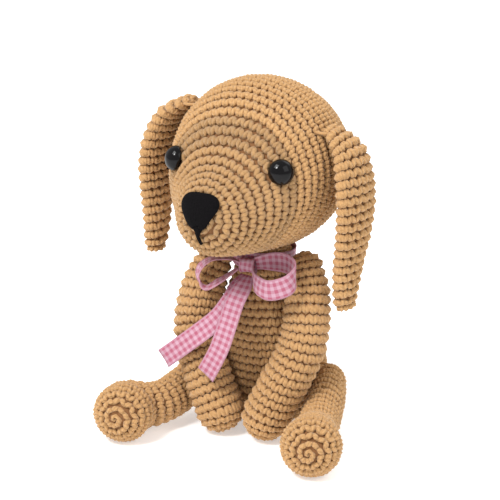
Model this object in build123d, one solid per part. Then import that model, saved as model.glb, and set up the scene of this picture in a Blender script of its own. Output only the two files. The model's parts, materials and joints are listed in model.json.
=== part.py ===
"""Seated crocheted puppy with a ribbon bow: covers, stuffing, sewing yarn and fittings, in millimetres.

The puppy faces -Y, its left side is +X and +Z is up. The origin is the centre of the flat
base that it sits on. Covers are crocheted skins of one wall thickness, stuffed with fibre.
"""

import os
from math import cos, pi, radians, sin, sqrt

from build123d import *

# Fabric, yarn and clearances
WALL = 3.5  # thickness of the crocheted fabric
FILL_GAP = 0.5  # between a cover's inside and its stuffing
SKIN_GAP = 0.1  # between a cover's outside and what is stitched onto it
YARN_R = 1.0  # sewing yarn
YARN_FIT = 0.08  # radial clearance of sewing yarn in what turns on it
YARN_SEAT = 0.02  # radial clearance of sewing yarn where it is anchored
ANCHOR_DEPTH = 2.8  # how deep a yarn end is sewn into a cover
EDGE_GAP = 1.0  # between the edge of a sewn limb and the yarn that goes round it
JOINT_GAP = 0.6  # between a sewn limb's rounded end and the cover beside it
EAR_GAP = 1.6  # between an ear's rounded top and the head beside it
CAP_ANGLES = (24, 46, 68)  # degrees round the rounded end of a stuffed piece
RING_POINTS = 12  # points that set out each oval ring
MIN_RING_R = 3.5  # radius that sets the smallest step between rings
RING_START = 0.7  # of a point's share, where each ring starts
RING_STEP = 7.0  # most that one ring lies from the next

# Torso: horizontal circles, (height, radius), leaning forward evenly with height
TORSO = [(0, 16.5), (3, 22.3), (9, 25.4), (19, 26.5), (32, 26.4), (45, 25.4)]
TORSO += [(56, 23.9), (66, 20.9), (75, 17.7), (83, 14.6), (91, 13.4)]
TORSO_BACK = 3.0  # how far behind the origin the torso's lowest circle is centred
TORSO_LEAN = 18.0  # how far forward the top circle lies of the lowest
TORSO_TOP = TORSO[-1][0]

# Neck seam: a ring of yarn between the torso's top and the head
NECK_RING_R = 11.0
NECK_YARN_R = 1.05

# Head: upright ellipses across the forward axis, (behind centre, centre height, half-width, half-height)
HEAD = [(-56, -15.0, 6.5, 6.5), (-53, -15.0, 12.5, 12.5), (-47, -15.0, 18.0, 18.0)]
HEAD += [(-40, -13.5, 22.5, 21.5), (-33, -10.0, 28.5, 26.5), (-26, -5.5, 34.3, 32.0)]
HEAD += [(-17, -1.0, 39.6, 37.5), (-7, 1.2, 42.8, 40.7), (5, 2.0, 43.6, 41.5)]
HEAD += [(17, 2.0, 41.2, 38.8), (28, 2.2, 34.0, 32.0), (36, 2.5, 23.0, 21.5), (40, 2.5, 10.0, 9.5)]
HEAD_AHEAD = 17.0  # how far ahead of the origin the head's centre lies
HEAD_ASIDE = -2.0  # the head leans a little to the puppy's right
HEAD_TURN = -4.0  # degrees: it looks a little to its right at rest
HEAD_SEAT_GAP = 0.3  # between the neck seam and the underside of the head

# Safety eyes, in the head's own frame
EYE_R = 5.9
EYE_CUT = 2.4  # how much of the ball is cut flat at the back
EYE_AT = (28.4, -29.2, 6.3)
EYE_YAW = 40.0
EYE_PITCH = 14.0
SHANK_R = 2.0
SHANK_LENGTH = 13.0
WASHER_R = 7.0
WASHER_THICK = 1.6
SHANK_FIT = 0.1

# Nose and mouth, worked in black
NOSE_AT = (0.0, -56.0, -8.2)  # middle of the nose on the muzzle
NOSE_TILT = 18.0  # degrees that the nose faces upwards
NOSE_WIDTH = 22.0  # of the triangle before its corners are rounded
NOSE_HEIGHT = 18.0
NOSE_PROUD = 2.2
NOSE_ROUND = 3.2
MOUTH_LENGTH = 8.5
MOUTH_WIDTH = 2.0
MOUTH_PROUD = 1.0

# Ears: a flattened tube hung from its hinge, (aside, ahead, down, half-width, half-thickness)
EAR = [(8.7, 1.0, 8.5, 11.0, 4.5), (12.5, 2.0, 22.0, 13.0, 5.1), (13.2, 2.0, 35.0, 13.0, 5.2)]
EAR += [(12.2, 2.0, 47.5, 11.8, 5.1), (10.2, 2.0, 60.0, 10.0, 5.0), (8.8, 2.0, 72.0, 8.4, 4.8)]
EAR += [(8.2, 2.0, 82.0, 6.4, 4.6)]
EAR_TOP_WIDTH = 6.2
EAR_TOP_THICK = 3.1
EAR_HINGE_AHEAD = 3.0  # hinge, ahead of the head's centre
EAR_HINGE_UP = {"left": 22.0, "right": 28.5}  # hinge, above the head's centre
EAR_LENGTH = {"left": 1.0, "right": 0.93}
EAR_HANG = {"left": 0.0, "right": 8.5}  # degrees outwards at rest

# Arms: round sections, (aside, ahead, height, radius)
ARM = [(24.6, 18.9, 84.6, 8.4), (27.4, 22.9, 75.0, 10.6), (29.0, 27.3, 65.0, 11.3)]
ARM += [(29.2, 30.6, 54.0, 11.6), (26.4, 33.9, 42.0, 11.7), (20.0, 37.2, 28.0, 11.8)]
ARM += [(12.9, 39.0, 12.8, 12.0)]
ARM_END_DIRECTION = (-0.30, -0.06, -1.0)
ARM_TOP_DIRECTION = (-0.35, 0.30, 1.0)
SHOULDER = (24.6, -18.9, 84.6)  # the shoulder thread's line runs across here
KNOT_R = 2.2

# Legs: (aside, ahead, height, half-width, half-height) from the hip seam to the foot
LEG = [(36.8, 20.0, 18.6, 8.8, 11.4), (39.8, 34.0, 14.6, 9.8, 11.0), (43.8, 48.0, 13.2, 10.2, 10.8)]
HIP_WIDTH = 7.2  # half-width of the flat end that is sewn on
HIP_HEIGHT = 11.2
HIP_AHEAD = 7.0
HIP_UP = 22.0
FOOT_R = 14.6
FOOT_AT = (50.5, 69.0)  # aside and ahead of the origin
FOOT_TURN = {"left": -18.0, "right": 10.0}  # degrees inwards that the sole faces

# Tail: round sections, (behind its hinge, above its hinge, radius)
TAIL = [(7.0, 2.0, 6.0), (13.0, 6.0, 6.2), (18.0, 12.0, 5.8)]
TAIL_BASE_R = 5.0
TAIL_UP = 15.0
TAIL_END_DIRECTION = (0, 0.6, 1.0)

# Ribbon
RIBBON_THICK = 0.6
RIBBON_WIDTH = 10.0
BAND_HEIGHT = 4.6  # the ribbon is gathered where it passes round the neck
BAND_TOP = 90.6
BAND_GAP = 0.35
KNOT_SIZE = (7.5, 5.0, 8.0)
LOOP = [(4.1, 33.0, 88.0, 6.0), (12.0, 31.6, 88.2, 9.0), (20.5, 34.2, 87.8, 9.6), (26.0, 39.4, 86.0, 9.6)]
LOOP += [(24.8, 44.8, 83.0, 9.6), (17.0, 46.9, 81.0, 9.6), (9.2, 43.0, 82.6, 8.8), (4.1, 35.8, 85.4, 5.6)]
TAILS = {
    "long": [(-1.0, 33.4, 82.0), (-2.2, 38.8, 77.4), (-4.5, 44.0, 70.5), (-10.0, 47.5, 62.0)],
    "short": [(1.0, 34.9, 82.0), (0.6, 41.0, 77.6), (-1.0, 46.4, 70.5), (-3.2, 49.7, 60.0)],
}
TAILS["long"] += [(-20.0, 49.8, 53.0), (-35.5, 51.5, 40.5)]
TAILS["short"] += [(-7.0, 51.6, 47.5), (-13.5, 52.8, 34.5)]
TAIL_TOP_WIDTH = 5.5  # where a ribbon end comes out of the knot

SIDES = {"left": 1, "right": -1}


def section(centre, normal, across, half_across, half_other):
    """A closed oval wire round a centre, starting near the `across` side.

    It starts a little past that side, so that no hole is drilled through the line where it closes.
    """
    plane = Plane(origin=centre, x_dir=across, z_dir=normal)
    points = []
    for step in range(RING_POINTS):
        angle = 2 * pi * (step + RING_START) / RING_POINTS
        points.append(plane.from_local_coords((half_across * cos(angle), half_other * sin(angle), 0)))
    return Wire([Edge.make_spline(points, periodic=True)])


def square_to(direction, normal):
    """The direction with its share along the normal taken out, one unit long."""
    direction, normal = Vector(*direction), Vector(*normal).normalized()
    return (direction - normal * direction.dot(normal)).normalized()


def loft_through(rings):
    """A closed solid through (centre, normal, across, half_across, half_other) rings, in order."""
    wires = []
    for centre, normal, across, half_across, half_other in rings:
        along = square_to(across, normal)
        wires.append(section(centre, normal, along, half_across, half_other))
    return Solid.make_loft(wires)


def march(length, first, last):
    """Places along a length whose steps grow from `first`, and shrink to `last`, by a half each."""
    near, far = [0.0], [length]
    step_near, step_far = first, last
    while far[-1] - near[-1] > step_near + step_far:
        if step_near <= step_far:
            near.append(near[-1] + step_near)
            step_near = min(1.5 * step_near, RING_STEP)
        else:
            far.append(far[-1] - step_far)
            step_far = min(1.5 * step_far, RING_STEP)
    return near + far[::-1]


def smoothly(places, values, at):
    """The value at a place, along a smooth curve through values at rising places."""
    last = len(places) - 1
    slopes = []
    for i in range(last + 1):
        low, high = max(i - 1, 0), min(i + 1, last)
        slopes.append((values[high] - values[low]) / (places[high] - places[low]))
    i = max(k for k in range(last) if places[k] <= at + 1e-9)
    gap = places[i + 1] - places[i]
    t = min(max((at - places[i]) / gap, 0.0), 1.0)
    start = values[i] * (1 + 2 * t) * (1 - t) ** 2 + slopes[i] * gap * t * (1 - t) ** 2
    return start + values[i + 1] * t * t * (3 - 2 * t) - slopes[i + 1] * gap * t * t * (1 - t)


def stuffed(stations, across, start, end, shrink=0.0):
    """A rounded tube through stations (x, y, z, half_across, half_other), shrunk by a wall.

    Start and end are the outward directions of its two ends, which are rounded as far out
    as the end station's smaller radius.
    """
    places = [0.0]
    for before, after in zip(stations, stations[1:]):
        places.append(places[-1] + (Vector(*after[:3]) - Vector(*before[:3])).length)
    out_first, out_last = Vector(*start).normalized(), Vector(*end).normalized()

    def at(place):
        values = [smoothly(places, [s[k] for s in stations], place) for k in range(5)]
        return Vector(*values[:3]), values[3] - shrink, values[4] - shrink

    turn = radians(CAP_ANGLES[1] - CAP_ANGLES[0])
    first = min(stations[0][3:5]) - shrink
    last = min(stations[-1][3:5]) - shrink
    rings = []
    for cap in CAP_ANGLES:
        centre, wide, thick = at(0.0)
        share = sin(radians(cap))
        rings.append((centre + out_first * first * cos(radians(cap)), -out_first, across, wide * share, thick * share))
    near, far = [max(min(s[3:5]) - WALL, MIN_RING_R) * turn for s in (stations[0], stations[-1])]
    marks = march(places[-1], near, far)
    for index, place in enumerate(marks):
        centre, wide, thick = at(place)
        if index == 0:
            normal = -out_first
        elif index == len(marks) - 1:
            normal = out_last
        else:
            normal = (at(marks[index + 1])[0] - at(marks[index - 1])[0]).normalized()
        rings.append((centre, normal, across, wide, thick))
    for cap in reversed(CAP_ANGLES):
        centre, wide, thick = at(places[-1])
        share = sin(radians(cap))
        rings.append((centre + out_last * last * cos(radians(cap)), out_last, across, wide * share, thick * share))
    return loft_through(rings)


def torso_middle(height):
    """The Y of the torso's centreline at a height."""
    return TORSO_BACK - TORSO_LEAN * height / TORSO_TOP


def torso_radius(height):
    """The torso's outer radius at a height, along straight lines between its circles."""
    for (low, r_low), (high, r_high) in zip(TORSO, TORSO[1:]):
        if height <= high:
            return r_low + (r_high - r_low) * (height - low) / (high - low)
    return TORSO[-1][1]


def torso_solid(shrink=0.0):
    """The torso's outer shape, or the shape a wall inside it."""
    rings = []
    last = len(TORSO) - 1
    for index, (height, radius) in enumerate(TORSO):
        lift = shrink if index == 0 else -shrink if index == last else 0.0
        rings.append(((0, torso_middle(height), height + lift), (0, 0, 1), (1, 0, 0), radius - shrink, radius - shrink))
    return loft_through(rings)


def head_height():
    """The Z of the head's centre: its underside rests just above the neck seam."""
    underside = min(middle - half for _, middle, _, half in HEAD)
    return TORSO_TOP + 2 * NECK_YARN_R + HEAD_SEAT_GAP - underside


def head_place():
    """The head's own frame: looking along -Y, its centre at the origin."""
    return Location((HEAD_ASIDE, -HEAD_AHEAD, head_height()), (0, 0, HEAD_TURN))


def head_solid(shrink=0.0):
    """The head's outer shape in its own frame, or the shape a wall inside it."""
    rings = []
    last = len(HEAD) - 1
    for index, (behind, middle, half_width, half_height) in enumerate(HEAD):
        push = shrink if index == 0 else -shrink if index == last else 0.0
        width, height = half_width - shrink, half_height - shrink
        rings.append(((0, behind + push, middle), (0, 1, 0), (1, 0, 0), width, height))
    return loft_through(rings)


def eye_place(side):
    """A frame on the head with +Z out of the eye's socket."""
    x, y, z = EYE_AT
    yaw, pitch = radians(EYE_YAW), radians(EYE_PITCH)
    out = (side * sin(yaw) * cos(pitch), -cos(yaw) * cos(pitch), sin(pitch))
    return Location(Plane(origin=(side * x, y, z), z_dir=out))


def eye_solid():
    """A moulded eye: a ball cut flat behind, on a ribbed shank."""
    ball = Pos(0, 0, EYE_R - EYE_CUT) * Sphere(EYE_R)
    ball -= Pos(0, 0, -EYE_R) * Box(4 * EYE_R, 4 * EYE_R, 2 * EYE_R)
    shank = Cylinder(SHANK_R, SHANK_LENGTH, align=(Align.CENTER, Align.CENTER, Align.MAX))
    return ball + shank


def washer_solid():
    """The disc that locks onto the shank inside the head."""
    seat = WALL + FILL_GAP
    disc = Cylinder(WASHER_R, WASHER_THICK, align=(Align.CENTER, Align.CENTER, Align.MAX))
    disc -= Cylinder(SHANK_R + SHANK_FIT, 3 * WASHER_THICK)
    return Pos(0, 0, -seat) * disc


def eye_pocket():
    """The room that a shank and its washer take in the head's wall and stuffing."""
    seat = WALL - 0.2
    bore = Cylinder(SHANK_R + SHANK_FIT, 4 * SHANK_LENGTH)
    depth = SHANK_LENGTH + 1.0 - seat
    room = Cylinder(WASHER_R + 0.5, depth, align=(Align.CENTER, Align.CENTER, Align.MAX))
    return bore, Pos(0, 0, -seat) * room


def eye_seat():
    """The flattened spot that an eye's rim beds into."""
    return Cylinder(EYE_R + 0.3, 4 * EYE_R, align=(Align.CENTER, Align.CENTER, Align.MIN))


def nose_place():
    """A frame on the muzzle with +Z out of the nose and +Y up."""
    tilt = radians(NOSE_TILT)
    return Location(Plane(origin=NOSE_AT, x_dir=(1, 0, 0), z_dir=(0, -cos(tilt), sin(tilt))))


def nose_patch():
    """The padded black nose, a rounded triangle that hugs the muzzle."""
    half, top, bottom = NOSE_WIDTH / 2, NOSE_HEIGHT * 0.42, -NOSE_HEIGHT * 0.58
    outline = Polyline((-half, top), (half, top), (0, bottom), (-half, top))
    shape = fillet(make_face(outline).vertices(), NOSE_ROUND)
    block = nose_place() * (Pos(0, 0, -12) * extrude(shape, 12 + NOSE_PROUD))
    return block - head_solid(-SKIN_GAP)


def mouth_stitch():
    """One straight black stitch down from the nose."""
    top = -NOSE_HEIGHT * 0.58 - 0.4
    middle = NOSE_AT[2] + top - MOUTH_LENGTH / 2
    strip = Pos(0, NOSE_AT[1], middle) * Box(MOUTH_WIDTH, 14, MOUTH_LENGTH)
    near = head_solid(-SKIN_GAP - MOUTH_PROUD)
    return (strip & near) - head_solid(-SKIN_GAP)


def ear_hinge(name):
    """The line that an ear hangs from, as a point in the head's frame."""
    up = EAR_HINGE_UP[name]
    return (SIDES[name] * (head_side(-EAR_HINGE_AHEAD, up) + EAR_TOP_THICK + EAR_GAP), -EAR_HINGE_AHEAD, up)


def ear_solid(name):
    """A doubled, flattened tube that hangs from its hinge and tapers to its tip."""
    side, length = SIDES[name], EAR_LENGTH[name]
    x, y, z = ear_hinge(name)
    stations = [(x, y, z, EAR_TOP_WIDTH, EAR_TOP_THICK)]
    for aside, ahead, down, width, thick in EAR:
        stations.append((x + side * aside, y - ahead, z - down * length, width, thick))
    shape = stuffed(stations, (0, 1, 0), (-side * 0.95, 0.1, 1), (side * 0.05, 0, -1))
    return shape.rotate(Axis((x, y, z), (0, -side, 0)), EAR_HANG[name])


def seam_staple(length, low_reach, high_reach, grow=0.0):
    """Sewing yarn through a limb's edge: a straight run with both ends turned into a cover.

    The run lies along Z through the origin and the ends reach along -X.
    """
    half, radius = length / 2, YARN_R + grow
    run = Cylinder(radius, length)
    for z, reach in ((-half, low_reach + grow), (half, high_reach + grow)):
        run += Pos(0, 0, z) * Sphere(radius)
        run += Pos(-reach / 2, 0, z) * Rot(0, 90, 0) * Cylinder(radius, reach)
    return run


def ear_seam_place(name):
    """Turns a staple so that its run lies along the ear's hinge, its ends into the head."""
    hinge = ear_hinge(name)
    return Location(Plane(origin=hinge, x_dir=(SIDES[name], 0, 0.0), z_dir=(0, 1, 0)))


def arm_stations(name):
    """The round sections of one arm."""
    return [(SIDES[name] * aside, -ahead, height, r, r) for aside, ahead, height, r in ARM]


def arm_solid(name, shrink=0.0):
    """One arm, from its shoulder to its paw."""
    side = SIDES[name]
    top = (ARM_TOP_DIRECTION[0] * side, *ARM_TOP_DIRECTION[1:])
    end = (ARM_END_DIRECTION[0] * side, *ARM_END_DIRECTION[1:])
    return stuffed(arm_stations(name), (0, 1, 0), top, end, shrink)


def shoulder_thread(grow=0.0):
    """The thread that joints both arms, with a knot inside each."""
    x, y, z = SHOULDER
    thread = Pos(0, y, z) * Rot(0, 90, 0) * Cylinder(YARN_R + grow, 2 * x)
    for side in SIDES.values():
        thread += Pos(side * x, y, z) * Sphere(KNOT_R + grow)
    return thread


def hip_point(name):
    """Where a leg's flat end is sewn to the torso."""
    reach = torso_radius(HIP_UP) + HIP_WIDTH + JOINT_GAP
    ahead = HIP_AHEAD + torso_middle(HIP_UP)
    return (SIDES[name] * sqrt(reach**2 - ahead**2), -HIP_AHEAD, HIP_UP)


def leg_solid(name, shrink=0.0):
    """One leg, from its flattened hip to the ball of its foot."""
    side = SIDES[name]
    x, y, z = hip_point(name)
    stations = [(x, y, z, HIP_WIDTH, HIP_HEIGHT)]
    stations += [(side * aside, -ahead, up, wide, high) for aside, ahead, up, wide, high in LEG]
    aside, ahead = FOOT_AT
    turn = radians(FOOT_TURN[name])
    out = (-side * sin(turn), -cos(turn), 0.06)
    heel = 0.55 * FOOT_R
    back = (side * aside - out[0] * heel, -ahead - out[1] * heel, FOOT_R + 0.1)
    stations.append((*back, 0.86 * FOOT_R, 0.86 * FOOT_R))
    stations.append((side * aside, -ahead, FOOT_R + 0.2, FOOT_R, FOOT_R))
    return stuffed(stations, (1, 0, 0), (-side * 0.2, 1, 0.2), out, shrink)


def leg_seam_place(name):
    """Turns a staple so that its run stands in the hip's flat end, its ends into the torso."""
    return Location(Plane(origin=hip_point(name), x_dir=(SIDES[name], 0, 0), z_dir=(0, 0, 1)))


def tail_hinge():
    """Where the tail is sewn to the back of the torso."""
    behind = torso_middle(TAIL_UP) + torso_radius(TAIL_UP) + TAIL_BASE_R + JOINT_GAP
    return (0, behind, TAIL_UP)


def tail_solid():
    """The short tail, curving upwards."""
    x, y, z = tail_hinge()
    stations = [(x, y, z, TAIL_BASE_R, TAIL_BASE_R)]
    stations += [(x, y + behind, z + above, r, r) for behind, above, r in TAIL]
    return stuffed(stations, (1, 0, 0), (0, -1, -0.2), TAIL_END_DIRECTION)


def tail_seam_place():
    """Turns a staple so that its run stands in the tail's base, its ends into the torso."""
    return Location(Plane(origin=tail_hinge(), x_dir=(0, 1, 0), z_dir=(0, 0, 1)))


def torso_side(height, at_y):
    """How far aside the torso's surface lies at a height and a Y."""
    return sqrt(torso_radius(height) ** 2 - (at_y - torso_middle(height)) ** 2)


def head_side(behind, up):
    """How far aside the head's surface lies, in the head's frame."""
    places = [ring[0] for ring in HEAD]
    middle, width, half = [smoothly(places, [ring[k] for ring in HEAD], behind) for k in (1, 2, 3)]
    return width * sqrt(1 - ((up - middle) / half) ** 2)


def leg_staple(name, grow=0.0):
    """The yarn that a leg turns on, anchored in the torso above and below the leg."""
    half = HIP_HEIGHT + EDGE_GAP + YARN_R
    x, y, z = hip_point("left")
    low, high = [x - torso_side(z + up, y) + ANCHOR_DEPTH for up in (-half, half)]
    return leg_seam_place(name) * seam_staple(2 * half, low, high, grow)


def tail_staple(grow=0.0):
    """The yarn that the tail turns on, anchored in the torso above and below the tail."""
    half = TAIL_BASE_R + EDGE_GAP + YARN_R
    y, z = tail_hinge()[1:]
    low, high = [y - torso_middle(z + up) - torso_radius(z + up) + ANCHOR_DEPTH for up in (-half, half)]
    return tail_seam_place() * seam_staple(2 * half, low, high, grow)


def ear_staple(name, grow=0.0):
    """The yarn that an ear turns on, anchored in the head ahead of and behind the ear."""
    half = EAR_TOP_WIDTH + EDGE_GAP + YARN_R
    x, y, z = ear_hinge(name)
    low, high = [abs(x) - head_side(y + along, z) + ANCHOR_DEPTH for along in (-half, half)]
    return ear_seam_place(name) * seam_staple(2 * half, low, high, grow)


def neck_seam():
    """The ring of whip stitches that holds the head to the torso."""
    return Pos(0, torso_middle(TORSO_TOP), TORSO_TOP + NECK_YARN_R) * Torus(NECK_RING_R, NECK_YARN_R)


def neck_band():
    """The gathered ribbon round the neck."""
    low = BAND_TOP - BAND_HEIGHT
    inner = torso_radius(low) + BAND_GAP
    lean = TORSO_LEAN * BAND_HEIGHT / TORSO_TOP / 2
    ring = Cylinder(inner + lean + RIBBON_THICK, BAND_HEIGHT) - Cylinder(inner + lean, 2 * BAND_HEIGHT)
    return Pos(0, torso_middle(low + BAND_HEIGHT / 2), low + BAND_HEIGHT / 2) * ring


def band_front():
    """The Y of the front of the neck band."""
    low = BAND_TOP - BAND_HEIGHT
    lean = TORSO_LEAN * BAND_HEIGHT / TORSO_TOP / 2
    return torso_middle(low + BAND_HEIGHT / 2) - torso_radius(low) - BAND_GAP - lean - RIBBON_THICK


def knot_centre():
    """The middle of the bow's knot."""
    return (0, band_front() - KNOT_SIZE[1] / 2 - 0.05, BAND_TOP - KNOT_SIZE[2] / 2)


def bow_knot():
    """The wrapped knot in front of the neck."""
    block = Box(*KNOT_SIZE)
    return Pos(*knot_centre()) * fillet(block.edges(), min(KNOT_SIZE) * 0.3)


def strip(path, widths, upright):
    """A ribbon along a path of points, its width lying nearest to `upright`."""
    wires = []
    for index, point in enumerate(path):
        ahead = path[min(index + 1, len(path) - 1)]
        back = path[max(index - 1, 0)]
        along = (ahead - back).normalized()
        plane = Plane(origin=point, x_dir=square_to(upright, along), z_dir=along)
        half, thin = widths[index] / 2, RIBBON_THICK / 2
        corners = [(-half, -thin), (half, -thin), (half, thin), (-half, thin)]
        corners = [plane.from_local_coords((u, v, 0)) for u, v in corners]
        wires.append(Wire.make_polygon(corners, close=True))
    return Solid.make_loft(wires)


def bow_loop(name):
    """One loop of the bow: it leaves the knot at the back, turns and comes back lower in front."""
    path = [Vector(SIDES[name] * aside, -ahead, up) for aside, ahead, up, _ in LOOP]
    return strip(path, [point[3] for point in LOOP], (0, 0, 1))


def bow_tail(name):
    """One tail of the bow, which hangs from under the knot in front of the chest."""
    path = [Vector(x, -ahead, up) for x, ahead, up in TAILS[name]]
    return strip(path, [TAIL_TOP_WIDTH] + [RIBBON_WIDTH] * (len(path) - 1), (1, 0, 0))


def hollow(outer, inner, cuts=()):
    """A cover: an outer shape less its inside and the holes sewn through it."""
    shape = outer - inner if inner else outer
    for cut in cuts:
        shape = shape - cut
    return shape


def solids_of(shape):
    """A shape as a list of its solids."""
    return Compound(children=list(shape.solids())) if len(shape.solids()) > 1 else shape.solids()[0]


def torso_parts():
    """Torso cover, stuffing, neck seam, leg and tail seams and the shoulder thread."""
    parts = {"shoulder_thread": shoulder_thread(), "neck_seam": neck_seam(), "tail_seam": tail_staple()}
    cuts = [shoulder_thread(YARN_SEAT), tail_staple(YARN_SEAT)]
    for name in SIDES:
        parts[f"{name}_leg_seam"] = leg_staple(name)
        cuts.append(leg_staple(name, YARN_SEAT))
    parts["torso_cover"] = hollow(torso_solid(), torso_solid(WALL), cuts)
    parts["torso_stuffing"] = hollow(torso_solid(WALL + FILL_GAP), None, cuts)
    return parts


def head_parts():
    """Head cover, stuffing, eyes, washers, nose, mouth and ear seams, in the head's frame."""
    outer, inner, filling = head_solid(), head_solid(WALL), head_solid(WALL + FILL_GAP)
    shell = outer - inner
    parts = {"nose_patch": nose_patch(), "mouth_stitch": mouth_stitch()}
    for name, side in SIDES.items():
        place = eye_place(side)
        bore, room = eye_pocket()
        shell = shell - place * bore - place * eye_seat() - place * room
        filling = filling - place * bore - place * room
        parts[f"{name}_eye"] = place * eye_solid()
        parts[f"{name}_eye_washer"] = place * washer_solid()
        parts[f"{name}_ear_seam"] = ear_staple(name)
        anchor = ear_staple(name, YARN_SEAT)
        shell = shell - anchor
        filling = filling - anchor
    parts["head_cover"] = shell
    parts["head_stuffing"] = filling
    return parts


def ear_parts():
    """Both ears, each with the hole that its sewing yarn runs through."""
    parts = {}
    for name in SIDES:
        run = 2 * (EAR_TOP_WIDTH + EDGE_GAP + YARN_R)
        hole = ear_seam_place(name) * Cylinder(YARN_R + YARN_FIT, run)
        parts[f"{name}_ear"] = ear_solid(name) - hole
    return parts


def arm_parts():
    """Both arms: covers and stuffing, with room for the shoulder thread and its knots."""
    parts = {}
    hole = shoulder_thread(YARN_FIT)
    for name in SIDES:
        parts[f"{name}_arm_cover"] = hollow(arm_solid(name), arm_solid(name, WALL), [hole])
        parts[f"{name}_arm_stuffing"] = arm_solid(name, WALL + FILL_GAP) - hole
    return parts


def leg_parts():
    """Both legs: covers and stuffing, with the hole that the hip's sewing yarn runs through."""
    parts = {}
    run = 2 * (HIP_HEIGHT + EDGE_GAP + YARN_R)
    for name in SIDES:
        hole = leg_seam_place(name) * Cylinder(YARN_R + YARN_FIT, run)
        parts[f"{name}_leg_cover"] = hollow(leg_solid(name), leg_solid(name, WALL), [hole])
        parts[f"{name}_leg_stuffing"] = leg_solid(name, WALL + FILL_GAP) - hole
    return parts


def tail_parts():
    """The tail, with the hole that its sewing yarn runs through."""
    run = 2 * (TAIL_BASE_R + EDGE_GAP + YARN_R)
    return {"tail": tail_solid() - tail_seam_place() * Cylinder(YARN_R + YARN_FIT, run)}


def ribbon_parts():
    """The ribbon: neck band, knot, two loops and two tails."""
    parts = {"ribbon_neck_band": neck_band(), "bow_knot": bow_knot()}
    for name in SIDES:
        parts[f"bow_{name}_loop"] = bow_loop(name)
    for name in TAILS:
        parts[f"bow_{name}_tail"] = bow_tail(name)
    return parts


def main():
    """Builds every piece and writes one STEP file for each."""
    os.makedirs("parts", exist_ok=True)
    parts = {**torso_parts(), **arm_parts(), **leg_parts(), **tail_parts(), **ribbon_parts()}
    for name, shape in {**head_parts(), **ear_parts()}.items():
        parts[name] = head_place() * shape
    for name, shape in parts.items():
        export_step(solids_of(shape), f"parts/{name}.step")
    print("hip", [round(v, 3) for v in hip_point("left")], "tail", [round(v, 3) for v in tail_hinge()])
    for name in SIDES:
        hinge = head_place() * Pos(*ear_hinge(name))
        print(name, "ear hinge", [round(v, 3) for v in hinge.position])
    print("head centre height", round(head_height(), 3), "parts", len(parts))


main()
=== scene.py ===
"""Seated crocheted puppy with a ribbon bow: yarn-worked covers, fittings, ribbon and studio."""

import json
import logging
import math
import random
from collections.abc import Callable, Sequence
from dataclasses import dataclass, field
from enum import Enum

import bmesh
import bpy
from mathutils import Matrix, Vector, noise

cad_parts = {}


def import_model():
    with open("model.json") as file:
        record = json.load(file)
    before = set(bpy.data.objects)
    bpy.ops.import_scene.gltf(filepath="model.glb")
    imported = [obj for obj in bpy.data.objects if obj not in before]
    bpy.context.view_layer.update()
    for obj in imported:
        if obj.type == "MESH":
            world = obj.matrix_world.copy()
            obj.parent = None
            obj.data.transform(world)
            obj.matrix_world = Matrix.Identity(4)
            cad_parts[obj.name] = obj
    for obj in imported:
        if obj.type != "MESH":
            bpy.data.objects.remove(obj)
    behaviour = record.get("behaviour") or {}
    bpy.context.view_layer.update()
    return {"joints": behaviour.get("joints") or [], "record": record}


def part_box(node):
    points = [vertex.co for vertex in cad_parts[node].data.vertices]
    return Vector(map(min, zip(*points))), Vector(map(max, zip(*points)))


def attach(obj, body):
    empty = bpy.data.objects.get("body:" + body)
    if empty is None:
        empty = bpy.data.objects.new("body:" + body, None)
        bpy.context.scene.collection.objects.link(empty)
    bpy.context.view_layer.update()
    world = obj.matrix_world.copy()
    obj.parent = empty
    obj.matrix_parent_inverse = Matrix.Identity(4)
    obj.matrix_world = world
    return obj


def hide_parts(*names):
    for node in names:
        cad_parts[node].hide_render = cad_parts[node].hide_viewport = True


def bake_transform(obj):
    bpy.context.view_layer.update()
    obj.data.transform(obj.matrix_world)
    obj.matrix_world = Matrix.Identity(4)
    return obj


LOG = logging.getLogger("puppy")
MM = 0.001
TINY = 1e-12
CAP_RINGS = 12  # rings in each rounded end of a stuffed tube
TANGENT_REACH = 0.3  # how far each way a tube's direction is read, in stations
ACROSS, BEHIND, UP = Vector((1, 0, 0)), Vector((0, 1, 0)), Vector((0, 0, 1))

Station = tuple[float, float, float, float, float]
Colour = tuple[float, float, float]
Yarn = list[tuple[Vector, float]]  # points of a strand, each with the yarn's radius there


class Side(Enum):
    """The puppy's own left and right, as the sign of X."""

    LEFT = 1
    RIGHT = -1

    @property
    def word(self) -> str:
        """The side's name as the frame's nodes and bodies spell it."""
        return self.name.lower()

    @property
    def seed(self) -> int:
        """A different whole number for each side."""
        return 0 if self is Side.LEFT else 7


@dataclass(frozen=True)
class Gauge:
    """How the yarn is worked, in metres.

    Attributes:
        row: height of one round.
        stitch: width of one stitch.
        yarn: radius of the yarn where a stitch is plumpest.
        pinch: radius where the yarn passes under its neighbours.
        bed: depth below the outer size at which the yarn's middle lies.
        swell: how far a stitch's legs stand above their ends.
        lining: depth of the fabric behind the stitches.
        lean: how far a leg climbs from the middle of its round, as a share of the round's height.
        uneven: how far one stitch may differ from the next, as a share of its height.
        sway: how far a round wanders up and down, as a share of its height.
        sway_scale: how often it wanders, in turns of the noise to a metre.
        steps: points of the yarn's path in each stitch.
        start: points in the coil that the work starts from.
    """

    row: float = 4.3 * MM
    stitch: float = 4.3 * MM
    yarn: float = 1.42 * MM
    pinch: float = 1.1 * MM
    bed: float = 1.9 * MM
    swell: float = 1.1 * MM
    lining: float = 1.9 * MM
    lean: float = 0.33
    uneven: float = 0.2
    sway: float = 0.2
    sway_scale: float = 45.0
    steps: int = 8
    start: int = 6


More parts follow.
